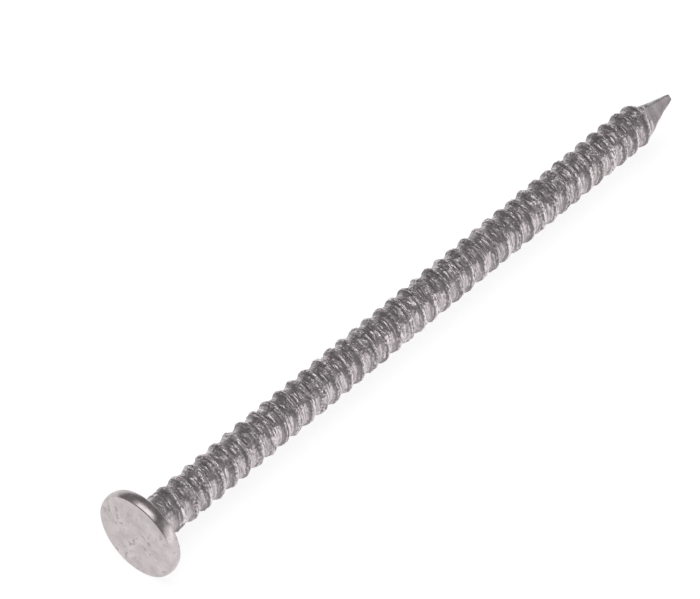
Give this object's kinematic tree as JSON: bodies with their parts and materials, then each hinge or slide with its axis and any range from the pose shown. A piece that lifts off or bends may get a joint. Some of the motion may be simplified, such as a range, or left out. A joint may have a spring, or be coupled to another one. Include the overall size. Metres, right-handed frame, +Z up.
{
  "type": "ring-shank nail",
  "caption": "Flat-head wire nail with a ring-rolled shank and a four-sided blunt point, for fixing timber.",
  "frame": {"origin": "middle of the head's flat top, on the nail's axis", "axes": "+X along the shank from the head to the point, +Z up when the nail lies on its side, +Y across"},
  "size_m": [0.0662, 0.0078, 0.0078],
  "materials": {
    "stainless_steel": "bright drawn stainless wire, dulled and pitted by rolling"
  },
  "bodies": {
    "root": {"nail": "stainless_steel"}
  },
  "joints": []
}
